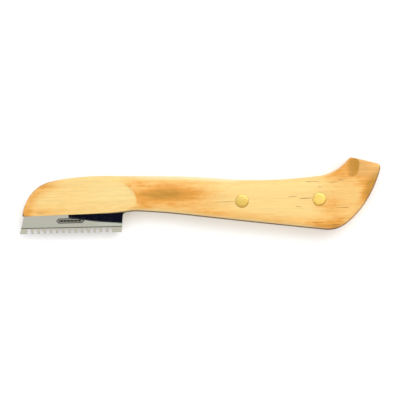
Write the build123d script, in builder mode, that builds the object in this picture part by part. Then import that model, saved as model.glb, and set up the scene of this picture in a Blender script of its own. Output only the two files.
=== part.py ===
from build123d import *

import os
from math import atan2, cos, radians, sin, tan

# Coat-stripping knife: a one-piece wooden handle, a toothed steel blade whose long tang sits in a saw kerf
# along the handle's underside, and two two-part brass rivets that hold the tang.
#
# The knife lies on its flat cheek. +X runs from the blade to the butt, +Y from the teeth to the spine, and
# +Z up through the handle's thickness. The origin is on the lower cheek, midway between the two rivets.
# All lengths are in millimetres.

# ---------------------------------------------------------------- driving dimensions
HANDLE_THICKNESS = 13.0
RIVET_SPACING = 37.0
BLADE_THICKNESS = 1.5
TOOTH_PITCH = 3.0
GAP_COUNT = 14
RUNNING_GAP = 0.05  # clearance on each side of a piece that slides into another

MID_Z = HANDLE_THICKNESS / 2
MID_PLANE = Plane.XY.offset(MID_Z)

# Handle, seen from above: the corners where its four edges meet
NOSE_CORNER = (-124.1, -5.1)
HEEL = (-75.0, -4.2)
HOOK_TIP = (34.0, 20.0)
BUTT_TIP = (48.9, 16.1)
SPINE = [
    NOSE_CORNER,
    (-119.6, 5.6),
    (-110.8, 11.2),
    (-100.9, 12.9),
    (-80.1, 13.5),
    (-54.9, 12.7),
    (-28.6, 11.0),
    (6.5, 10.3),
    (18.4, 11.2),
    HOOK_TIP,
]
BACK_AND_BELLY = [
    BUTT_TIP,
    (42.4, 0.6),
    (32.3, -11.2),
    (27.5, -13.9),
    (21.1, -14.6),
    (-9.4, -10.8),
    (-45.3, -6.1),
    (-68.0, -3.8),
    HEEL,
]
RIM_ROUNDING = 3.0
HOOK_TIP_ROUNDING, BUTT_TIP_ROUNDING = 1.0, 2.0
SPINE_START, BACK_START = (0.12, 1), (-0.27, -1)  # directions in which the two long outlines set off

# Handle, seen from the side: half-thickness at the places where it changes
NOSE_TIP_HALF = 4.0
RIDGE_X, RIDGE_HALF = -69.5, 5.4
WAIST_X, WAIST_HALF = -57.0, 4.9
BODY_X = -40.0

# Little-finger flutes, one on each cheek at the hook, getting deeper towards the hook's tip
FLUTE_RADIUS = 6.0
FLUTE_X = 34.0
FLUTE_START_Y, FLUTE_END_Y = 9.0, 19.0
FLUTE_DEPTH = 1.8

# Saw kerf: open along the underside, with the round run-out that the saw leaves at the rear
KERF_TOP_Y = 5.0
KERF_END_X = 20.0
SAW_RADIUS = 30.0
KERF_CLEARANCE = 0.3  # between the tang's upper edge and the kerf's floor

# Blade
EDGE_Y = -13.5
EDGE_FRONT_X, EDGE_REAR_X = -125.7, -76.7
FRONT_RAKE, REAR_RAKE = 14.5, 5.5  # degrees that the blade's ends lean, both towards the butt
HEEL_ROUNDING = 1.5
TANG_OVERLAP = 1.0  # how far the blade's own outline reaches into the tang's
FIRST_GAP_X = -121.2
GAP_MOUTH, GAP_ROOT, GAP_DEPTH = 2.05, 1.4, 2.35
GAP_ROOT_ROUNDING = 0.5
SHOULDER_Y = -10.65
SHOULDER_STEP, SHOULDER_RUN = 0.2, 0.4  # drop and width of the ramp where the grind begins
TIP_THICKNESS = 0.7

# Decorative mark on the blade's upper face: a long hexagon around a row of dots
MARK_CENTRE = (-101.2, -7.6)
MARK_LENGTH, MARK_HEIGHT = 13.7, 2.4
MARK_LINE, MARK_DEPTH = 0.4, 0.1
DOT_COUNT, DOT_PITCH, DOT_RADIUS = 6, 1.7, 0.45

# Rivets: the sleeve comes up from the lower cheek, the post goes down into it
HEAD_RADIUS, HEAD_THICKNESS = 3.175, 1.6
HEAD_CROWN = 0.2  # how far a head's rim lies below its middle, which is flush with the cheek
SLEEVE_RADIUS, SLEEVE_TOP_Z = 2.1, 9.6
POST_RADIUS, POST_END_Z = 1.5, 3.0
POST_FIT = 0.02  # radial gap between post and sleeve
SHANK_CHAMFER = 0.3
POST_RIM_Z = HANDLE_THICKNESS - HEAD_CROWN
POST_HEAD_Z = HANDLE_THICKNESS - HEAD_THICKNESS
RIVET_X = {"front": -RIVET_SPACING / 2, "rear": RIVET_SPACING / 2}

os.makedirs("parts", exist_ok=True)


# ---------------------------------------------------------------- shared outlines
def arc_chain(points, direction):
    """Arcs through the points, each leaving its point in the direction in which the last one arrived."""
    for start, end in zip(points, points[1:]):
        arc = TangentArc(start, end, tangent=direction)
        direction = arc % 1


def handle_outline():
    """The handle seen from above: spine, hook end, back and belly, and the seat above the blade."""
    with BuildSketch() as outline:
        with BuildLine():
            arc_chain(SPINE, SPINE_START)
            Line(HOOK_TIP, BUTT_TIP)
            arc_chain(BACK_AND_BELLY, BACK_START)
            Line(HEEL, NOSE_CORNER)
        make_face()
    return outline.sketch


def kerf_outline(clearance=0.0):
    """The area that the saw clears, from the underside up to the kerf's floor, less a clearance."""
    top = KERF_TOP_Y - clearance
    radius = SAW_RADIUS - clearance
    below = EDGE_Y - HANDLE_THICKNESS
    front = NOSE_CORNER[0] - HANDLE_THICKNESS
    saw_centre = (KERF_END_X, KERF_TOP_Y - SAW_RADIUS)
    with BuildSketch() as kerf:
        with BuildLine():
            Polyline((saw_centre[0], below), (front, below), (front, top), (KERF_END_X, top))
            run_out = CenterArc(saw_centre, radius, 90, -90)
            Polyline(run_out @ 1, (saw_centre[0] + radius, below), (saw_centre[0], below))
        make_face()
    return kerf.sketch


# ---------------------------------------------------------------- handle
SIDE_PLANE = Plane(origin=(0, 0, MID_Z), x_dir=(1, 0, 0), z_dir=(0, -1, 0))
FLUTE_TILT = atan2(FLUTE_DEPTH, FLUTE_END_Y - FLUTE_START_Y)
FLUTE_PLANE = Plane(
    origin=(FLUTE_X, FLUTE_START_Y, HANDLE_THICKNESS),
    x_dir=(1, 0, 0),
    z_dir=(0, cos(FLUTE_TILT), -sin(FLUTE_TILT)),
)

with BuildPart() as handle:
    # Blank with rounded rims
    with BuildSketch():
        add(handle_outline())
    extrude(amount=HANDLE_THICKNESS)
    fillet(handle.faces().filter_by(Axis.Z).edges(), RIM_ROUNDING)
    for tip, rounding in ((HOOK_TIP, HOOK_TIP_ROUNDING), (BUTT_TIP, BUTT_TIP_ROUNDING)):
        corner = handle.edges().filter_by(Axis.Z).sort_by_distance((*tip, MID_Z))[0]
        fillet(corner, rounding)

    # Nose facets and waist
    with BuildSketch(SIDE_PLANE):
        with BuildLine():
            facet = Line((NOSE_CORNER[0] - RIM_ROUNDING, NOSE_TIP_HALF), (RIDGE_X, RIDGE_HALF))
            waist = Spline(
                [facet @ 1, (WAIST_X, WAIST_HALF), (BODY_X, MID_Z)],
                tangents=[(1, -0.1), (1, 0)],
            )
            Polyline(waist @ 1, (BODY_X, HANDLE_THICKNESS), ((facet @ 0).X, HANDLE_THICKNESS), facet @ 0)
        make_face()
    relief = extrude(amount=HANDLE_THICKNESS * 2, both=True, mode=Mode.SUBTRACT)
    mirror(relief, about=MID_PLANE, mode=Mode.SUBTRACT)

    # Little-finger flutes
    with BuildSketch(FLUTE_PLANE):
        with Locations((0, -FLUTE_RADIUS)):
            Circle(FLUTE_RADIUS)
    flute = extrude(amount=HANDLE_THICKNESS * 2, both=True, mode=Mode.SUBTRACT)
    mirror(flute, about=MID_PLANE, mode=Mode.SUBTRACT)

    # Saw kerf
    with BuildSketch(MID_PLANE):
        add(kerf_outline())
    extrude(amount=BLADE_THICKNESS / 2 + RUNNING_GAP, both=True, mode=Mode.SUBTRACT)

    # Rivet holes with a recess for each head
    with Locations([(x, 0, MID_Z) for x in RIVET_X.values()]):
        Cylinder(SLEEVE_RADIUS + RUNNING_GAP, HANDLE_THICKNESS, mode=Mode.SUBTRACT)
    with Locations([(x, 0, z) for x in RIVET_X.values() for z in (0, HANDLE_THICKNESS)]):
        Cylinder(HEAD_RADIUS + RUNNING_GAP, HEAD_THICKNESS * 2, mode=Mode.SUBTRACT)
handle.part.label = "handle"
export_step(handle.part, "parts/handle.step")

# ---------------------------------------------------------------- blade
FRONT_SLOPE, REAR_SLOPE = tan(radians(FRONT_RAKE)), tan(radians(REAR_RAKE))
FRONT_TOP = (EDGE_FRONT_X + (NOSE_CORNER[1] - EDGE_Y) * FRONT_SLOPE, NOSE_CORNER[1])
REAR_TOP = (EDGE_REAR_X + (HEEL[1] - EDGE_Y) * REAR_SLOPE, HEEL[1])
HEEL_START = (REAR_TOP[0] - HEEL_ROUNDING * REAR_SLOPE, REAR_TOP[1] - HEEL_ROUNDING)
HEEL_END = (REAR_TOP[0] + HEEL_ROUNDING, REAR_TOP[1])
BLADE_END_PLANE = Plane(origin=(EDGE_REAR_X, 0, MID_Z), x_dir=(0, 1, 0), z_dir=(1, 0, 0))
BLADE_FACE_Z = MID_Z + BLADE_THICKNESS / 2

with BuildPart() as blade:
    # Tang and blade in one outline, with a rounded heel where the two meet
    with BuildSketch(MID_PLANE):
        add(kerf_outline(KERF_CLEARANCE))
        add(handle_outline(), mode=Mode.INTERSECT)
        with BuildLine():
            TangentArc(HEEL_START, HEEL_END, tangent=(REAR_SLOPE, 1))
            Polyline(
                HEEL_END,
                (HEEL_END[0], HEEL_END[1] + TANG_OVERLAP),
                (FRONT_TOP[0] + TANG_OVERLAP, FRONT_TOP[1] + TANG_OVERLAP),
                FRONT_TOP,
                (EDGE_FRONT_X, EDGE_Y),
                (EDGE_REAR_X, EDGE_Y),
                HEEL_START,
            )
        make_face()
    extrude(amount=BLADE_THICKNESS / 2, both=True)

    # Toothed zone: a ramp down on each face, then a taper to the tips of the teeth
    with BuildSketch(BLADE_END_PLANE):
        with BuildLine():
            Polyline(
                (SHOULDER_Y, BLADE_THICKNESS),
                (SHOULDER_Y, BLADE_THICKNESS / 2),
                (SHOULDER_Y - SHOULDER_RUN, BLADE_THICKNESS / 2 - SHOULDER_STEP),
                (EDGE_Y, TIP_THICKNESS / 2),
                (EDGE_Y, BLADE_THICKNESS),
                close=True,
            )
        make_face()
        mirror(about=Plane.XZ)
    extrude(amount=EDGE_REAR_X - EDGE_FRONT_X + TOOTH_PITCH, both=True, mode=Mode.SUBTRACT)

    # Gaps between the teeth, each wider at its mouth
    with BuildSketch(mode=Mode.PRIVATE) as gap:
        with BuildLine():
            Polyline(
                (-GAP_ROOT / 2, GAP_DEPTH),
                (GAP_ROOT / 2, GAP_DEPTH),
                (GAP_MOUTH / 2, 0),
                (GAP_MOUTH / 2, -GAP_DEPTH),
                (-GAP_MOUTH / 2, -GAP_DEPTH),
                (-GAP_MOUTH / 2, 0),
                close=True,
            )
        make_face()
        fillet(gap.vertices().group_by(Axis.Y)[-1], GAP_ROOT_ROUNDING)
    with BuildSketch(MID_PLANE):
        with Locations([(FIRST_GAP_X + index * TOOTH_PITCH, EDGE_Y) for index in range(GAP_COUNT)]):
            add(gap.sketch)
    extrude(amount=BLADE_THICKNESS, both=True, mode=Mode.SUBTRACT)

    # Rivet holes
    with Locations([(x, 0, MID_Z) for x in RIVET_X.values()]):
        Cylinder(SLEEVE_RADIUS + RUNNING_GAP, BLADE_THICKNESS * 2, mode=Mode.SUBTRACT)

    # Decorative mark, engraved
    mark_tip = MARK_LENGTH / 2
    mark_side = MARK_HEIGHT / 2
    with BuildSketch(Plane.XY.offset(BLADE_FACE_Z)):
        with Locations(MARK_CENTRE):
            Polygon(
                (-mark_tip, 0),
                (mark_side - mark_tip, mark_side),
                (mark_tip - mark_side, mark_side),
                (mark_tip, 0),
                (mark_tip - mark_side, -mark_side),
                (mark_side - mark_tip, -mark_side),
                align=None,
            )
            offset(amount=-MARK_LINE, kind=Kind.INTERSECTION, mode=Mode.SUBTRACT)
            with GridLocations(DOT_PITCH, 0, DOT_COUNT, 1):
                Circle(DOT_RADIUS)
    extrude(amount=-MARK_DEPTH, mode=Mode.SUBTRACT)
blade.part.label = "blade"
export_step(blade.part, "parts/blade.step")

# ---------------------------------------------------------------- rivets
for place, rivet_x in RIVET_X.items():
    rivet_axis = Axis((rivet_x, 0, 0), (0, 0, 1))
    rivet_plane = Plane(origin=(rivet_x, 0, 0), x_dir=(1, 0, 0), z_dir=(0, -1, 0))

    with BuildPart() as rivet_sleeve:
        with BuildSketch(rivet_plane):
            with BuildLine():
                TangentArc((0, 0), (HEAD_RADIUS, HEAD_CROWN), tangent=(1, 0))
                Polyline(
                    (HEAD_RADIUS, HEAD_CROWN),
                    (HEAD_RADIUS, HEAD_THICKNESS),
                    (SLEEVE_RADIUS, HEAD_THICKNESS),
                    (SLEEVE_RADIUS, SLEEVE_TOP_Z - SHANK_CHAMFER),
                    (SLEEVE_RADIUS - SHANK_CHAMFER, SLEEVE_TOP_Z),
                    (POST_RADIUS + POST_FIT, SLEEVE_TOP_Z),
                    (POST_RADIUS + POST_FIT, HEAD_THICKNESS),
                    (0, HEAD_THICKNESS),
                    (0, 0),
                )
            make_face()
        revolve(axis=rivet_axis)
    rivet_sleeve.part.label = f"{place}_rivet_sleeve"
    export_step(rivet_sleeve.part, f"parts/{place}_rivet_sleeve.step")

    with BuildPart() as rivet_post:
        with BuildSketch(rivet_plane):
            with BuildLine():
                TangentArc((0, HANDLE_THICKNESS), (HEAD_RADIUS, POST_RIM_Z), tangent=(1, 0))
                Polyline(
                    (HEAD_RADIUS, POST_RIM_Z),
                    (HEAD_RADIUS, POST_HEAD_Z),
                    (POST_RADIUS, POST_HEAD_Z),
                    (POST_RADIUS, POST_END_Z + SHANK_CHAMFER),
                    (POST_RADIUS - SHANK_CHAMFER, POST_END_Z),
                    (0, POST_END_Z),
                    (0, HANDLE_THICKNESS),
                )
            make_face()
        revolve(axis=rivet_axis)
    rivet_post.part.label = f"{place}_rivet_post"
    export_step(rivet_post.part, f"parts/{place}_rivet_post.step")
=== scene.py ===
"""Coat-stripping knife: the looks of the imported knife, lying on a pale table and seen from above.

The handle is a new mesh, whittled from the plan outline of the CAD handle. The blade and the rivets are the
CAD nodes with softened edges. Lengths are in metres; MM turns millimetres into metres.
+X runs from the blade to the butt, +Y from the teeth to the spine, and +Z up out of the upper cheek.
"""

import math

import bmesh
import bpy
import numpy as np
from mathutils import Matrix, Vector


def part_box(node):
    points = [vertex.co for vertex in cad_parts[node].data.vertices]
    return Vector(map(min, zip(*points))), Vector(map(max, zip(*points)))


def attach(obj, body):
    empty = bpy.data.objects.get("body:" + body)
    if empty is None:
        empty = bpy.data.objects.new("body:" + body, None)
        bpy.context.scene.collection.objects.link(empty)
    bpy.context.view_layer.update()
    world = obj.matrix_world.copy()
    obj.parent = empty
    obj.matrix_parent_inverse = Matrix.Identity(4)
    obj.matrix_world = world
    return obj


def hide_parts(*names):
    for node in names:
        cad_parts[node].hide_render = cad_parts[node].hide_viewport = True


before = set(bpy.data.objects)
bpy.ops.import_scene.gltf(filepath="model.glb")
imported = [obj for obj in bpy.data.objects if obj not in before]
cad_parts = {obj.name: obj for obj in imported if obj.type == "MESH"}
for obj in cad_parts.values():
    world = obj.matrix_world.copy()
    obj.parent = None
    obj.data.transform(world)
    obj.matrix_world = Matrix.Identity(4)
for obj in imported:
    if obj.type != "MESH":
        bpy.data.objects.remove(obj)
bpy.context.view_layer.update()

MM = 0.001
WELD_DISTANCE = 1e-6  # vertices closer than this are one vertex
BODY = "root"

# ---------------------------------------------------------------- places taken from the frame
handle_low, handle_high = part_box("handle")
blade_low, blade_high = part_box("blade")
front_low, front_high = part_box("front_rivet_post")
rear_low, rear_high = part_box("rear_rivet_post")
MID_Z = (handle_low.z + handle_high.z) / 2
HALF_THICKNESS = (handle_high.z - handle_low.z) / 2
BLADE_HALF = (blade_high.z - blade_low.z) / 2
RIVETS = {"front": ((front_low + front_high) / 2).xy, "rear": ((rear_low + rear_high) / 2).xy}
HEAD_RADIUS = (front_high.x - front_low.x) / 2
HEAD_THICKNESS = 1.6 * MM
HEAD_CLEARANCE = 0.04 * MM
SHANK_HOLE_RADIUS = 2.15 * MM
KERF_HALF = BLADE_HALF + 0.1 * MM
NOSE_X = handle_low.x
EDGE_Y = blade_low.y  # the points of the teeth

# ---------------------------------------------------------------- the handle's shape
RIB_STEP = 0.5 * MM
ACROSS = 49  # points on each rib, denser towards its ends
WALL_ROWS = 7  # rows of points on the wall, between the upper rim and the lower one
FAN_START_X = 14 * MM  # from here to the butt the ribs turn towards the end face
PLAN_ABOVE_BLADE = 0.4 * MM  # the plan outline is read this far above the blade

# roundings along the outline: how far each reaches inwards, and how far it drops
SPINE_REACH, SPINE_DROP = 7.5 * MM, 5.0 * MM
NOSE_DROP = 3.0 * MM  # over the nose the section is squarer
NOSE_END_X, NOSE_BLEND_END_X = -112 * MM, -92 * MM
HOOK_REACH, HOOK_DROP = 3.5 * MM, 3.0 * MM  # less rounding on the hook
HOOK_BLEND_X, HOOK_X = 14 * MM, 30 * MM
BELLY_ROUND = (3.0 * MM, 2.5 * MM)
END_ROUND = (1.6 * MM, 1.3 * MM)
LEAST_HALF = BLADE_HALF + 0.6 * MM  # the wood's rim never gets thinner than this

FACET_TIP_HALF = 4.0 * MM  # half-thickness of the flat nose at its tip and at the ridge
FACET_RIDGE_HALF = 5.42 * MM
RIDGE_X, RIDGE_Y = -69.5 * MM, 1.0 * MM  # the ridge's hindmost point, from which it curves forwards
RIDGE_CURVE_UP, RIDGE_CURVE_DOWN = 80.0, 400.0
BEHIND_RIDGE_SLOPE = 0.5  # lifts the facet clear of the wood behind the ridge
WAIST_X, WAIST_SPREAD, WAIST_DEPTH = -57.0 * MM, 15.0 * MM, 1.6 * MM

FLUTE_X, FLUTE_RADIUS, FLUTE_DEPTH = 34.0 * MM, 6.0 * MM, 1.6 * MM
FLUTE_START_Y, FLUTE_RUN = 10.2 * MM, 6.0 * MM  # it deepens over the run, then keeps its depth
FACET_BLEND, FLUTE_BLEND = 0.25 * MM, 0.2 * MM  # how softly each of them runs out


# ---------------------------------------------------------------- outlines
def slice_loops(node, height):
    """The closed outlines in which a CAD node meets a level plane, each as an array of (x, y) points."""
    mesh = bmesh.new()
    mesh.from_mesh(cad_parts[node].data)
    bmesh.ops.remove_doubles(mesh, verts=mesh.verts, dist=WELD_DISTANCE)
    bmesh.ops.bisect_plane(
        mesh,
        geom=mesh.verts[:] + mesh.edges[:] + mesh.faces[:],
        plane_co=(0, 0, height),
        plane_no=(0, 0, 1),
        clear_inner=True,
        clear_outer=True,
    )
    bmesh.ops.remove_doubles(mesh, verts=mesh.verts, dist=WELD_DISTANCE)
    loops = []
    unseen = set(mesh.verts)
    while unseen:
        vertex = min(unseen, key=lambda v: v.index)
        loop = []
        while vertex is not None:
            unseen.discard(vertex)
            loop.append((vertex.co.x, vertex.co.y))
            neighbours = [edge.other_vert(vertex) for edge in vertex.link_edges]
            vertex = next((v for v in neighbours if v in unseen), None)
        loops.append(np.array(loop))
    mesh.free()
    return loops


def longest(loops):
    return max(loops, key=lambda loop: np.ptp(loop[:, 0]))


def turned_to(loop, start):
    """The loop starting at a given index and running clockwise, nose, spine, butt, belly."""
    loop = np.roll(loop, -start, axis=0)
    x, y = loop[:, 0], loop[:, 1]
    area = np.sum(x * np.roll(y, -1) - np.roll(x, -1) * y)
    if area > 0:
        loop = np.roll(loop[::-1], 1, axis=0)
    return loop


def lengths_along(points):
    steps = np.hypot(*np.diff(points, axis=0).T)
    return np.concatenate([[0], np.cumsum(steps)])


def at_length(points, where):
    """Points at given distances along a polyline."""
    along = lengths_along(points)
    return np.stack([np.interp(where, along, points[:, axis]) for axis in (0, 1)], axis=-1)


def distance_to(points, line):
    """The distance from each point to the nearest part of a polyline."""
    starts, ends = line[:-1], line[1:]
    spans = ends - starts
    squared = np.maximum(np.sum(spans**2, axis=1), WELD_DISTANCE**2)
    nearest = np.full(len(points), np.inf)
    for start, span, size in zip(starts, spans, squared):
        share = np.clip((points - start) @ span / size, 0, 1)
        gap = points - start - share[:, None] * span
        nearest = np.minimum(nearest, np.hypot(gap[:, 0], gap[:, 1]))
    return nearest


plan = longest(slice_loops("handle", MID_Z + BLADE_HALF + PLAN_ABOVE_BLADE))
plan = turned_to(plan, int(np.argmin(plan[:, 0])))
hook = int(np.argmax(plan[:, 1]))
butt = int(np.argmax(plan[:, 0]))
spine = plan[: hook + 1]
end_face = plan[hook : butt + 1]
under = np.vstack([plan[butt:], plan[:1]])[::-1]  # nose, seat, belly, back, butt


# ---------------------------------------------------------------- the handle's surface
def smooth_min(a, b, width):
    share = np.clip(0.5 + 0.5 * (b - a) / width, 0, 1)
    return b * (1 - share) + a * share - width * share * (1 - share)


def smooth_step(x, low, high):
    share = np.clip((x - low) / (high - low), 0, 1)
    return share * share * (3 - 2 * share)


def rounded(distance, reach, drop):
    """How far an elliptical rounding lies below the flat, at a distance inwards from the edge."""
    share = 1 - np.clip(distance / reach, 0, 1)
    return drop * (1 - np.sqrt(np.maximum(1 - share**2, 0)))


def facet_height(points):
    """Half-thickness left by the flat facet that thins the nose in front of a curved ridge."""
    x, y = points[:, 0], points[:, 1] - RIDGE_Y
    slope = (FACET_RIDGE_HALF - FACET_TIP_HALF) / (RIDGE_X - NOSE_X)
    ridge = RIDGE_X - y**2 * np.where(y > 0, RIDGE_CURVE_UP, RIDGE_CURVE_DOWN)
    return FACET_TIP_HALF + (x - NOSE_X) * slope + np.maximum(x - ridge, 0) * BEHIND_RIDGE_SLOPE


def body_height(points):
    """Half the handle's thickness before the nose facet and the flute are cut."""
    x = points[:, 0]
    nose = 1 - smooth_step(x, NOSE_END_X, NOSE_BLEND_END_X)
    hooked = smooth_step(x, HOOK_BLEND_X, HOOK_X)
    drop = SPINE_DROP + nose * (NOSE_DROP - SPINE_DROP) + hooked * (HOOK_DROP - SPINE_DROP)
    reach = SPINE_REACH + hooked * (HOOK_REACH - SPINE_REACH)
    height = HALF_THICKNESS - WAIST_DEPTH * np.exp(-(((x - WAIST_X) / WAIST_SPREAD) ** 2))
    height = height - rounded(distance_to(points, spine), reach, drop)
    height = height - rounded(distance_to(points, under), *BELLY_ROUND)
    height = height - rounded(distance_to(points, end_face), *END_ROUND)
    return height


def flute_height(points):
    """Half-thickness left by the little-finger flute. In front of the flute it lies clear of the wood."""
    x, y = points[:, 0], points[:, 1]
    share = np.clip((y - FLUTE_START_Y) / FLUTE_RUN, 0, 1)
    bottom = HALF_THICKNESS - FLUTE_DEPTH * share * (2 - share)
    across = np.clip((x - FLUTE_X) / FLUTE_RADIUS, -1, 1)
    return bottom + FLUTE_RADIUS * (1 - np.sqrt(1 - across**2)) + np.where(share > 0, 0, MM)


def handle_height(points):
    """Half the handle's thickness at points in plan."""
    height = smooth_min(body_height(points), facet_height(points), FACET_BLEND)
    height = smooth_min(height, flute_height(points), FLUTE_BLEND)
    return np.maximum(height, LEAST_HALF)


def rib_grid():
    """Points in plan on ribs from the spine to the underside, nose first. The last rib is the end face."""
    across = (1 - np.cos(np.linspace(0, math.pi, ACROSS))) / 2
    spine_along, under_along = lengths_along(spine), lengths_along(under)
    turn = int(np.argmax(under[:, 0] > FAN_START_X)) + 1
    spine_start = np.interp(FAN_START_X, spine[:, 0], spine_along)
    under_start = np.interp(FAN_START_X, under[:turn, 0], under_along[:turn])

    front_tops = at_length(spine, np.linspace(0, spine_start, int(spine_start / RIB_STEP) + 1)[1:])
    bottom_y = np.interp(front_tops[:, 0], under[:turn, 0], under[:turn, 1])
    front_bottoms = np.stack([front_tops[:, 0], bottom_y], axis=1)

    share = np.linspace(0, 1, int((under_along[-1] - under_start) / RIB_STEP) + 1)[1:]
    fan_tops = at_length(spine, spine_start + share * (spine_along[-1] - spine_start))
    fan_bottoms = at_length(under, under_start + share * (under_along[-1] - under_start))

    tops = np.vstack([front_tops, fan_tops])
    bottoms = np.vstack([front_bottoms, fan_bottoms])
    grid = tops[:, None, :] + across[None, :, None] * (bottoms - tops)[:, None, :]
    face = at_length(end_face, across * lengths_along(end_face)[-1])
    bend = np.concatenate([np.zeros(len(front_tops)), share**2])
    return grid + bend[:, None, None] * (face - grid[-1])[None, :, :]


def handle_mesh():
    """The whole handle as one closed mesh: an upper and a lower skin, and a wall round the outline."""
    grid = rib_grid()
    ribs = len(grid)
    flat = np.vstack([[plan[0]], grid.reshape(-1, 2)])
    height = handle_height(flat)
    count = len(flat)
    vertices = [(x, y, MID_Z + h) for (x, y), h in zip(flat, height)]
    vertices += [(x, y, MID_Z - h) for (x, y), h in zip(flat, height)]

    def index(rib, step):
        return 1 + rib * ACROSS + step

    faces = []
    for step in range(ACROSS - 1):
        faces.append((0, index(0, step + 1), index(0, step)))
        for rib in range(ribs - 1):
            near_pair = (index(rib, step), index(rib, step + 1))
            far_pair = (index(rib + 1, step + 1), index(rib + 1, step))
            faces.append(near_pair + far_pair)
    faces += [tuple(count + i for i in reversed(face)) for face in faces]

    rim = [0]
    rim += [index(rib, 0) for rib in range(ribs)]
    rim += [index(ribs - 1, step) for step in range(1, ACROSS)]
    rim += [index(rib, ACROSS - 1) for rib in reversed(range(ribs - 1))]
    rows = [rim]
    for row in range(1, WALL_ROWS + 1):
        level = 1 - 2 * row / (WALL_ROWS + 1)
        start = len(vertices)
        vertices += [(*flat[i], MID_Z + height[i] * level) for i in rim]
        rows.append(list(range(start, start + len(rim))))
    rows.append([count + i for i in rim])
    for upper, lower in zip(rows, rows[1:]):
        for i in range(len(rim)):
            j = (i + 1) % len(rim)
            faces.append((upper[i], upper[j], lower[j], lower[i]))
    mesh = bpy.data.meshes.new("handle_wood")
    mesh.from_pydata(vertices, [], faces)
    mesh.update()
    return mesh


def add_object(name, mesh):
    piece = bpy.data.objects.new(name, mesh)
    bpy.context.scene.collection.objects.link(piece)
    return piece


def prism(name, outline, low, high):
    """A closed solid with an outline in plan between two levels."""
    shape = bmesh.new()
    ring = [shape.verts.new((x, y, low)) for x, y in outline]
    base = shape.faces.new(ring)
    raised = bmesh.ops.extrude_face_region(shape, geom=[base])
    top = [item for item in raised["geom"] if isinstance(item, bmesh.types.BMVert)]
    bmesh.ops.translate(shape, verts=top, vec=(0, 0, high - low))
    bmesh.ops.recalc_face_normals(shape, faces=shape.faces)
    mesh = bpy.data.meshes.new(name)
    shape.to_mesh(mesh)
    shape.free()
    return add_object(name, mesh)


def circle(centre, radius, count=96):
    """Points on a circle in plan."""
    turn = np.linspace(0, 2 * math.pi, count, endpoint=False)
    return [(centre[0] + radius * math.cos(a), centre[1] + radius * math.sin(a)) for a in turn]


def cut(piece, cutter):
    """Takes the cutter's solid out of the piece and removes the cutter."""
    modifier = piece.modifiers.new("cut", "BOOLEAN")
    modifier.operation = "DIFFERENCE"
    modifier.solver = "EXACT"
    modifier.object = cutter
    evaluated = piece.evaluated_get(bpy.context.evaluated_depsgraph_get())
    mesh = bpy.data.meshes.new_from_object(evaluated)
    piece.modifiers.clear()
    old = piece.data
    piece.data = mesh
    bpy.data.meshes.remove(old)
    bpy.data.objects.remove(cutter)


def kerf_outline():
    """The saw kerf in plan, read off the CAD handle's middle plane and carried out past the wood."""
    past_wood = 10 * MM
    on_outline = 0.05 * MM  # points this close to the outline belong to it, the others to the kerf's floor
    middle = longest(slice_loops("handle", MID_Z))
    floor = middle[distance_to(middle, np.vstack([plan, plan[:1]])) > on_outline]
    floor = floor[np.argsort(floor[:, 0])]
    top = floor[0, 1]
    run_out = floor[-1] + (floor[-1] - floor[-2]) * 20
    below = plan[:, 1].min() - past_wood
    front = NOSE_X - past_wood
    return [(front, below), (front, top), *floor, run_out, (run_out[0], below)]


handle = add_object("handle_wood", handle_mesh())
cut(handle, prism("kerf", kerf_outline(), MID_Z - KERF_HALF, MID_Z + KERF_HALF))
below_handle, above_handle = handle_low.z - MM, handle_high.z + MM
for centre in RIVETS.values():
    cut(handle, prism("shank_hole", circle(centre, SHANK_HOLE_RADIUS), below_handle, above_handle))
    recess = circle(centre, HEAD_RADIUS + HEAD_CLEARANCE)
    cut(handle, prism("upper_recess", recess, handle_high.z - HEAD_THICKNESS, above_handle))
    cut(handle, prism("lower_recess", recess, below_handle, handle_low.z + HEAD_THICKNESS))
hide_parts("handle")
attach(handle, BODY)
handle.data.polygons.foreach_set("use_smooth", [True] * len(handle.data.polygons))
handle.data.set_sharp_from_angle(angle=math.radians(45))


# ---------------------------------------------------------------- wear and tint, painted on the handle
def blob(x, y, centre, reach, power=2.0):
    """A soft spot in plan: 1 at its centre, fading out over its reach in x and y."""
    across, up = (x - centre[0]) / reach[0], (y - centre[1]) / reach[1]
    return np.exp(-((across**2 + up**2) ** (power / 2)))


def near(distance, inner, outer):
    """1 within the inner distance, fading to 0 at the outer one."""
    return 1 - smooth_step(distance, inner, outer)


def paint(mesh, name, values):
    """Stores one value per vertex, for the material to read."""
    layer = mesh.attributes.new(name, "FLOAT", "POINT")
    layer.data.foreach_set("value", np.asarray(values, np.float32))


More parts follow.
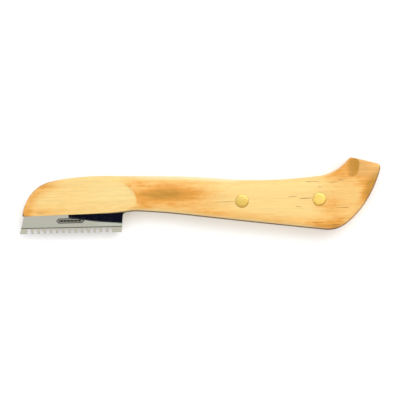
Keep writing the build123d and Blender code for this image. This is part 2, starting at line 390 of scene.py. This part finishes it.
def paint_handle(mesh):
    """Paints how scorched, sanded and pale the wood is, with a painted highlight along the spine and
    painted shade along the rims. Distances in here are in millimetres.
    """
    places = np.zeros(len(mesh.vertices) * 3)
    mesh.vertices.foreach_get("co", places)
    places = places.reshape(-1, 3)
    points = places[:, :2]
    x, y = points.T / MM
    level = (places[:, 2] - MID_Z) / handle_height(points)  # 1 on the upper skin, less down the wall
    from_spine = distance_to(points, spine) / MM
    from_under = distance_to(points, under) / MM
    body = body_height(points)
    sanded = smooth_step(body - facet_height(points), -0.15 * MM, 0.25 * MM)
    fluted = smooth_step(body - flute_height(points), 0, 0.3 * MM)

    # the dark patch on the neck, with a halo that ends at the sanded facet
    neck = blob(x, y, (-56, 4.6), (np.where(x > -56, 17, 15), np.where(y > 4.6, 3.1, 4.6)))
    halo = 0.28 * blob(x, y, (-54, 4.2), (24, 8.5), 4) + 0.3 * blob(x, y, (-72, 9.5), (8, 2))
    scorch = (1 - (1 - neck) * (1 - halo)) * (1 - sanded)
    # the nose, under the spine and above the blade
    scorch += 0.45 * near(from_spine, 1.5, 6.5) * near(x, -113, -101)
    scorch += 0.35 * blob(x, y, (-115, -3.8), (10, 2.6)) + 0.2 * blob(x, y, (-66, -1.5), (4, 2.5))
    # the belly, in front of the front rivet and in a strip along the edge
    scorch += 0.2 * blob(x, y, (-33, -3), (12, 5))
    strip = smooth_step(x, -58, -36) * near(x, 24, 32) * (0.28 + 0.2 * smooth_step(x, 8, 18))
    scorch += strip * near(from_under, 2, 6.5)
    # the butt, more along its back and below the hook
    scorch += 0.26 * smooth_step(x, 12, 30)
    scorch += 0.22 * smooth_step(y, 7, 12) * smooth_step(x, 14, 26) * near(x, 40, 48)
    back = smooth_step(y, -5, 3) * near(y, 10, 16) * smooth_step(x, 18, 28)
    scorch += 0.7 * near(from_under, 0.5, 5.5) * back
    scorch += 0.35 * blob(x, y, (41.5, 6.3), (4, 4)) + 0.3 * blob(x, y, (23, -3), (7, 5))
    # the hook and its flute
    hook = smooth_step(y, 8, 13) * smooth_step(x, 30, 38)
    scorch += 0.14 * hook + 0.1 * blob(x, y, (29, 12.5), (4, 3))
    scorch += 0.8 * fluted * smooth_step(x, 31, 36.5)
    paint(mesh, "scorch", np.clip(scorch, 0, 1))

    # painted highlight along the spine, where the rounding catches the light; a paler tone on the hook and
    # a paler band along the rim of the belly
    pale = near(from_spine, 0.8, 2) * smooth_step(x, -108, -98) * near(x, -28, -14)
    pale = pale * (0.1 + 0.9 * smooth_step(x, -74, -56))
    pale += 0.2 * hook * (1 - fluted)
    pale += 0.45 * near(from_under, 0.8, 1.9) * smooth_step(x, -74, -64) * near(x, 14, 26)
    paint(mesh, "pale", pale)
    paint(mesh, "sanded", sanded * (0.05 + 0.7 * blob(x, y, (-80, 5.5), (12, 5))))

    # painted shade: a dark line along the rims, where the rounding turns steeply away from the light
    belly = near(from_under, 0.5, 1.1) * (0.3 + 0.7 * smooth_step(x, -84, -76))
    belly *= 1 - 0.4 * smooth_step(x, 26, 34)
    nose = 0.85 * near(from_spine, 0.5, 1.5) * near(x, -114, -104)
    paint(mesh, "rim_shade", np.maximum(belly, nose) * smooth_step(level, 0.75, 1))


paint_handle(handle.data)


# ---------------------------------------------------------------- materials
class Graph:
    """Short names for the shader nodes that the materials use. Every method returns an output socket."""

    def __init__(self, name):
        self.material = bpy.data.materials.new(name)
        self.material.use_nodes = True
        self.tree = self.material.node_tree
        self.shader = self.tree.nodes["Principled BSDF"]
        self.place = self.node("ShaderNodeTexCoord").outputs["Object"]

    def node(self, kind, **settings):
        node = self.tree.nodes.new(kind)
        for key, value in settings.items():
            setattr(node, key, value)
        return node

    def link(self, value, socket):
        if isinstance(value, bpy.types.NodeSocket):
            self.tree.links.new(value, socket)
        elif isinstance(value, (tuple, list)) and len(value) == 3 and socket.type == "RGBA":
            socket.default_value = (*value, 1)
        else:
            socket.default_value = value

    def set(self, name, value):
        self.link(value, self.shader.inputs[name])

    def math(self, operation, *values, clamp=False):
        node = self.node("ShaderNodeMath", operation=operation, use_clamp=clamp)
        for value, socket in zip(values, node.inputs):
            self.link(value, socket)
        return node.outputs[0]

    def add(self, first, *others):
        for other in others:
            first = self.math("ADD", first, other)
        return first

    def multiply(self, first, *others):
        for other in others:
            first = self.math("MULTIPLY", first, other)
        return first

    def away(self, value, centre):
        """How far a value lies from a centre, to either side."""
        return self.math("ABSOLUTE", self.math("SUBTRACT", value, centre))

    def distance(self, x, y, centre):
        """How far in plan from a centre."""
        across = self.math("SUBTRACT", x, centre[0])
        up = self.math("SUBTRACT", y, centre[1])
        return self.math("SQRT", self.add(self.multiply(across, across), self.multiply(up, up)))

    def noise(self, stretch, detail=2.0, roughness=0.5):
        """Noise with its own frequency, in waves per metre, along each axis."""
        mapping = self.node("ShaderNodeMapping")
        self.link(self.place, mapping.inputs["Vector"])
        mapping.inputs["Scale"].default_value = stretch
        node = self.node("ShaderNodeTexNoise")
        self.link(mapping.outputs[0], node.inputs["Vector"])
        for key, value in (("Scale", 1.0), ("Detail", detail), ("Roughness", roughness)):
            node.inputs[key].default_value = value
        return node.outputs["Fac"]

    def remap(self, value, low, high, to_low=0.0, to_high=1.0):
        node = self.node("ShaderNodeMapRange", interpolation_type="SMOOTHSTEP")
        for item, socket in zip((value, low, high, to_low, to_high), node.inputs):
            self.link(item, socket)
        return node.outputs[0]

    def mix(self, share, a, b, blend="MIX"):
        node = self.node("ShaderNodeMix", data_type="RGBA", blend_type=blend)
        colour_a, colour_b = [socket for socket in node.inputs if socket.type == "RGBA"]
        self.link(share, node.inputs[0])
        self.link(a, colour_a)
        self.link(b, colour_b)
        return node.outputs[2]

    def ramp(self, value, stops):
        node = self.node("ShaderNodeValToRGB")
        self.link(value, node.inputs[0])
        elements = node.color_ramp.elements
        while len(elements) < len(stops):
            elements.new(0.5)
        for element, (position, colour) in zip(elements, stops):
            element.position = position
            element.color = (*colour, 1)
        return node.outputs[0]

    def painted(self, name):
        return self.node("ShaderNodeAttribute", attribute_name=name).outputs["Fac"]

    def axes(self):
        node = self.node("ShaderNodeSeparateXYZ")
        self.link(self.place, node.inputs[0])
        return node.outputs

    def bump(self, height, strength, distance):
        node = self.node("ShaderNodeBump")
        self.link(height, node.inputs["Height"])
        node.inputs["Strength"].default_value = strength
        node.inputs["Distance"].default_value = distance
        return node.outputs[0]


def srgb(red, green, blue):
    """A colour given as it looks on screen, 0 to 255, as linear light."""
    shares = [c / 255 for c in (red, green, blue)]
    return tuple(c / 12.92 if c <= 0.04045 else ((c + 0.055) / 1.055) ** 2.4 for c in shares)


LIGHT_LEVEL = 1.45  # how bright the studio light makes a white sheet


def lit(red, green, blue):
    """The matt colour that looks on screen as given, 0 to 255, when it lies flat in the studio light."""
    return tuple(c / LIGHT_LEVEL for c in srgb(red, green, blue))


# drying checks and dark streaks in the grain: centre, half-length and half-width in millimetres, darkness
CHECKS = [
    ((-26.0, -0.1), 5.5, 0.16, 0.55),
    ((5.8, 1.5), 2.3, 0.15, 0.7),
    ((12.1, 0.6), 3.6, 0.15, 0.75),
    ((8.6, -3.1), 1.5, 0.15, 0.6),
    ((29.2, -4.1), 3.6, 0.15, 0.7),
    ((15.2, 8.7), 4.0, 0.14, 0.75),
    ((25.2, 8.2), 2.3, 0.25, 0.55),
    ((29.1, 9.0), 1.8, 0.2, 0.65),
    ((19.0, 6.0), 1.2, 0.15, 0.5),
    ((17.6, -10.9), 3.0, 0.25, 0.35),
    ((26.4, -12.2), 1.9, 0.4, 0.4),
    ((-115.1, -3.5), 1.8, 0.3, 0.3),
]


def check_opening(wood, x, y, z):
    """How open the drying checks are, 0 to 1, on the upper half of the handle."""
    ripple = wood.noise((60, 500, 500))
    opening = 0.0
    for centre, half_length, half_width, darkness in CHECKS:
        along = wood.math("DIVIDE", wood.math("SUBTRACT", x, centre[0] * MM), half_length * MM)
        drift = wood.multiply(wood.math("SUBTRACT", ripple, 0.5), 1.2 * MM)
        off = wood.math("DIVIDE", wood.add(y, -centre[1] * MM, drift), half_width * MM)
        reach = wood.add(wood.multiply(along, along, along, along), wood.multiply(off, off))
        opening = wood.math("MAXIMUM", opening, wood.multiply(wood.remap(reach, 1.2, 0.2), darkness))
    return wood.multiply(opening, wood.math("GREATER_THAN", z, MID_Z))


def wood_material():
    """Pale beech, oiled, with straight fine grain and the tints painted on the handle, among them a painted
    highlight along the spine and painted shade along the rims.
    """
    wood = Graph("pale_oiled_wood")
    x, y, z = wood.axes()
    broad = wood.noise((9, 160, 120), 3, 0.55)
    streak = wood.noise((28, 900, 700), 3, 0.6)
    fibre = wood.noise((110, 3200, 3200), 2, 0.6)
    mottle = wood.noise((260, 620, 620), 2, 0.6)

    scorch = wood.add(wood.painted("scorch"), wood.remap(broad, 0.3, 0.7, -0.06, 0.08))
    scorch = wood.add(scorch, wood.remap(mottle, 0.3, 0.7, -0.07, 0.08))
    uneven = wood.remap(streak, 0.3, 0.7, 0.88, 1.12)
    stops = [(0, (254, 217, 138)), (0.35, (250, 195, 109)), (0.6, (238, 164, 64)), (1, (203, 145, 46))]
    colour = wood.ramp(wood.multiply(scorch, uneven), [(at, lit(*seen)) for at, seen in stops])
    colour = wood.mix(wood.painted("sanded"), colour, lit(254, 226, 152))
    # the painted highlight along the spine, and the paler hook and belly rim
    colour = wood.mix(wood.painted("pale"), colour, lit(250, 231, 173))
    grain = wood.add(wood.remap(streak, 0.3, 0.7, 0.0, 0.07), wood.remap(fibre, 0.35, 0.75, 0.0, 0.1))
    colour = wood.mix(1.0, colour, wood.math("SUBTRACT", 1.05, grain), "MULTIPLY")
    # painted shade along the rims, shown only where the surface is seen at a grazing angle
    grazing = wood.node("ShaderNodeLayerWeight").outputs["Facing"]
    rim_shade = wood.multiply(wood.painted("rim_shade"), wood.remap(grazing, 0.2, 0.5))
    colour = wood.mix(rim_shade, colour, lit(92, 64, 36))
    opening = check_opening(wood, x, y, z)
    colour = wood.mix(opening, colour, lit(132, 88, 44))

    wood.set("Base Color", colour)
    wood.set("Roughness", wood.remap(fibre, 0.3, 0.8, 0.45, 0.6))
    wood.set("Specular IOR Level", 0.3)
    relief = wood.math("SUBTRACT", wood.add(fibre, wood.multiply(streak, 0.5)), wood.multiply(opening, 2.0))
    wood.set("Normal", wood.bump(relief, 0.3, 0.06 * MM))
    return wood.material


SHOULDER_Y = -10.65 * MM  # below this line the blade is ground thinner
MARK_CENTRE, MARK_DEPTH = (-101.2 * MM, -7.6 * MM), 0.1 * MM
MARK_HALF_LENGTH, MARK_HALF_HEIGHT = 5.7 * MM, 0.6 * MM  # of the field inside the mark's line


def steel_material():
    """Polished steel, satin where it is ground towards the teeth, with a blackened engraved mark."""
    steel = Graph("polished_steel")
    x, y, z = steel.axes()
    brush = steel.noise((80, 6000, 6000), 2, 0.6)
    cloud = steel.noise((60, 90, 90), 3)
    satin = steel.remap(y, SHOULDER_Y + 0.1 * MM, SHOULDER_Y - 0.3 * MM)
    tips = steel.remap(y, EDGE_Y + 1.8 * MM, EDGE_Y + 0.6 * MM)
    # painted reflection: brighter steel in the band below the reflected dark wedge, above the ground zone
    painted_bright_band = steel.multiply(steel.remap(x, -92 * MM, -84 * MM), steel.remap(y, -8.6 * MM, -9.2 * MM))
    colour = steel.mix(cloud, srgb(170, 170, 158), srgb(183, 182, 169))
    colour = steel.mix(painted_bright_band, colour, srgb(184, 187, 173))
    colour = steel.mix(satin, colour, srgb(184, 180, 165))
    colour = steel.mix(tips, colour, srgb(160, 157, 146))
    depth = steel.math("SUBTRACT", blade_high.z, z)
    engraved = steel.multiply(
        steel.remap(depth, 0.2 * MARK_DEPTH, 0.5 * MARK_DEPTH),
        steel.math("LESS_THAN", depth, 1.2 * MARK_DEPTH),
        steel.math("GREATER_THAN", y, SHOULDER_Y + 0.3 * MM),
    )
    along = steel.away(x, MARK_CENTRE[0])
    across = steel.away(y, MARK_CENTRE[1])
    within = steel.multiply(
        steel.remap(along, MARK_HALF_LENGTH + 0.3 * MM, MARK_HALF_LENGTH - 0.3 * MM),
        steel.remap(across, MARK_HALF_HEIGHT + 0.15 * MM, MARK_HALF_HEIGHT - 0.15 * MM),
    )
    colour = steel.mix(steel.multiply(within, 0.9), colour, srgb(80, 76, 67))
    colour = steel.mix(engraved, colour, srgb(22, 22, 25))
    steel.set("Base Color", colour)
    steel.set("Metallic", 1.0)
    rough = steel.add(steel.remap(brush, 0.3, 0.7, 0.03, 0.06), steel.multiply(satin, 0.25))
    steel.set("Roughness", rough)
    steel.set("Normal", steel.bump(brush, 0.02, 0.01 * MM))
    return steel.material


def brass_material(name, centre, face, band, rim):
    """Sanded brass: the face has its own colour; the band across its upper side and the darker lower rim
    are painted light and shade on the crowned head.
    """
    brass = Graph(name)
    x, y, _ = brass.axes()
    scratch = brass.noise((300, 7000, 7000), 2, 0.6)
    cross = brass.noise((5000, 400, 5000), 2, 0.6)
    band_edge_noise = brass.noise((700, 700, 700), 3, 0.6)
    from_centre = brass.math("DIVIDE", brass.distance(x, y, centre), HEAD_RADIUS)
    up = brass.math("DIVIDE", brass.math("SUBTRACT", y, centre[1]), HEAD_RADIUS)
    wobble = brass.remap(band_edge_noise, 0.3, 0.7, -0.12, 0.12)
    # painted light and shade: the band across the upper side and the darker lower rim
    banded = brass.remap(brass.add(up, wobble), 0.0, 0.35)
    lower = brass.remap(brass.add(from_centre, brass.multiply(up, -0.35), wobble), 0.8, 1.1)
    colour = brass.mix(banded, srgb(*face), srgb(*band))
    colour = brass.mix(lower, colour, srgb(*rim))
    brass.set("Base Color", colour)
    brass.set("Metallic", 0.85)
    brass.set("Roughness", brass.remap(scratch, 0.3, 0.7, 0.3, 0.45))
    brass.set("Normal", brass.bump(brass.add(scratch, brass.multiply(cross, 0.6)), 0.25, 0.02 * MM))
    return brass.material


def floor_material():
    paper = Graph("white_table")
    grain = paper.noise((900, 900, 900), 3)
    paper.set("Base Color", paper.mix(grain, srgb(244, 244, 244), srgb(247, 247, 247)))
    paper.set("Roughness", 0.9)
    paper.set("Specular IOR Level", 0.1)
    return paper.material


def card_material(name, tint):
    """A card that shows its tint, slightly uneven, and takes no light."""
    card = Graph(name)
    card.set("Base Color", (0, 0, 0))
    card.set("Specular IOR Level", 0)
    card.set("Emission Color", card.mix(card.noise((20, 20, 20)), (0, 0, 0), tint))
    card.set("Emission Strength", 2)
    return card.material


def give(piece, material):
    """Makes a material the piece's only one."""
    piece.data.materials.clear()
    piece.data.materials.append(material)


def dress_cad(node, material, bevel):
    """Gives a CAD node its material and softens its sharp edges."""
    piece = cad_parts[node]
    for slot in piece.material_slots:
        slot.material = material
    weld = piece.modifiers.new("weld", "WELD")
    weld.merge_threshold = WELD_DISTANCE
    soften = piece.modifiers.new("soften", "BEVEL")
    soften.width = bevel
    soften.segments = 2
    soften.limit_method = "ANGLE"
    soften.angle_limit = math.radians(35)
    soften.use_clamp_overlap = True


give(handle, wood_material())
dress_cad("blade", steel_material(), 0.06 * MM)
# brass colours: the face, then the painted light and shade of the upper band and of the lower rim
worn = brass_material("worn_brass", RIVETS["front"], (210, 176, 90), (210, 180, 100), (192, 152, 72))
bright = brass_material("bright_brass", RIVETS["rear"], (226, 191, 98), (212, 182, 98), (196, 152, 70))
for place, brass in (("front", worn), ("rear", bright)):
    dress_cad(f"{place}_rivet_post", brass, 0.08 * MM)
    dress_cad(f"{place}_rivet_sleeve", brass, 0.08 * MM)

# ---------------------------------------------------------------- table, camera and light
TABLE_HALF = 3.0
table_corners = [(x * TABLE_HALF, y * TABLE_HALF, 0) for x, y in ((-1, -1), (1, -1), (1, 1), (-1, 1))]
floor_mesh = bpy.data.meshes.new("floor")
floor_mesh.from_pydata(table_corners, [], [(0, 1, 2, 3)])
floor = add_object("floor", floor_mesh)
give(floor, floor_material())

LENS, SENSOR = 200, 36
FRAME_WIDTH, RIM_HEIGHT = 192 * MM, 10 * MM  # how wide the picture is, at the height of the handle's rim
KNIFE_TURN = 1.3  # degrees that the knife is turned in the picture, its butt raised
CAMERA_PLACE = Vector((-38.6 * MM, 1.0 * MM, FRAME_WIDTH * LENS / SENSOR + RIM_HEIGHT))
camera_data = bpy.data.cameras.new("camera")
camera_data.lens = LENS
camera_data.sensor_width = SENSOR
camera = bpy.data.objects.new("camera", camera_data)
bpy.context.scene.collection.objects.link(camera)
camera.location = CAMERA_PLACE
camera.rotation_euler = (0, 0, math.radians(-KNIFE_TURN))
bpy.context.scene.camera = camera

world = bpy.data.worlds.new("studio")
world.use_nodes = True
background = world.node_tree.nodes["Background"]
background.inputs["Color"].default_value = (1, 1, 1, 1)
background.inputs["Strength"].default_value = 1.1
bpy.context.scene.world = world


def softbox(name, place, target, size, power):
    """A rectangular lamp at a place, turned towards a target."""
    lamp = bpy.data.lights.new(name, "AREA")
    lamp.shape = "RECTANGLE"
    lamp.size, lamp.size_y = size
    lamp.energy = power
    holder = bpy.data.objects.new(name, lamp)
    bpy.context.scene.collection.objects.link(holder)
    holder.location = place
    holder.rotation_euler = (Vector(target) - Vector(place)).to_track_quat("-Z", "Y").to_euler()


def reflector(name, corners, tint):
    """A card beside or above the knife that only its shiny parts reflect."""
    mesh = bpy.data.meshes.new(name)
    mesh.from_pydata(corners, [], [tuple(range(len(corners)))])
    card = add_object(name, mesh)
    give(card, card_material(name, tint))
    for ray in ("camera", "diffuse", "transmission", "volume_scatter", "shadow"):
        setattr(card, f"visible_{ray}", False)


softbox("key_softbox", place=(0.32, 0.68, 1.0), target=(-0.04, 0, 0), size=(1.3, 0.9), power=9)

# The dark wedge seen in the blade's flat: its outline there in millimetres, carried up to the flag's height
# along the mirrored sight lines.
WEDGE = [
    (-102.1, -3.0),
    (-102.1, -6.15),
    (-94.5, -7.4),
    (-89.2, -8.2),
    (-76.2, -9.3),
    (-73.0, -9.3),
    (-73.0, -3.0),
]
WEDGE_RISE = 30 * MM
spread = 1 + WEDGE_RISE / (CAMERA_PLACE.z - blade_high.z)
wedge = [CAMERA_PLACE.xy + (Vector(corner) * MM - CAMERA_PLACE.xy) * spread for corner in WEDGE]
reflector("dark_flag", [(x, y, blade_high.z + WEDGE_RISE) for x, y in wedge], (0.01, 0.011, 0.03))

# the dark line along the shoulder of the blade's ground zone, whose ramp looks towards this card
side_card = [(-0.3, -0.3, 0.13), (0.1, -0.3, 0.13), (0.1, -0.3, 0.28), (-0.3, -0.3, 0.28)]
reflector("dark_side_card", side_card, (0.05, 0.05, 0.04))
bpy.context.scene.view_settings.view_transform = "Standard"
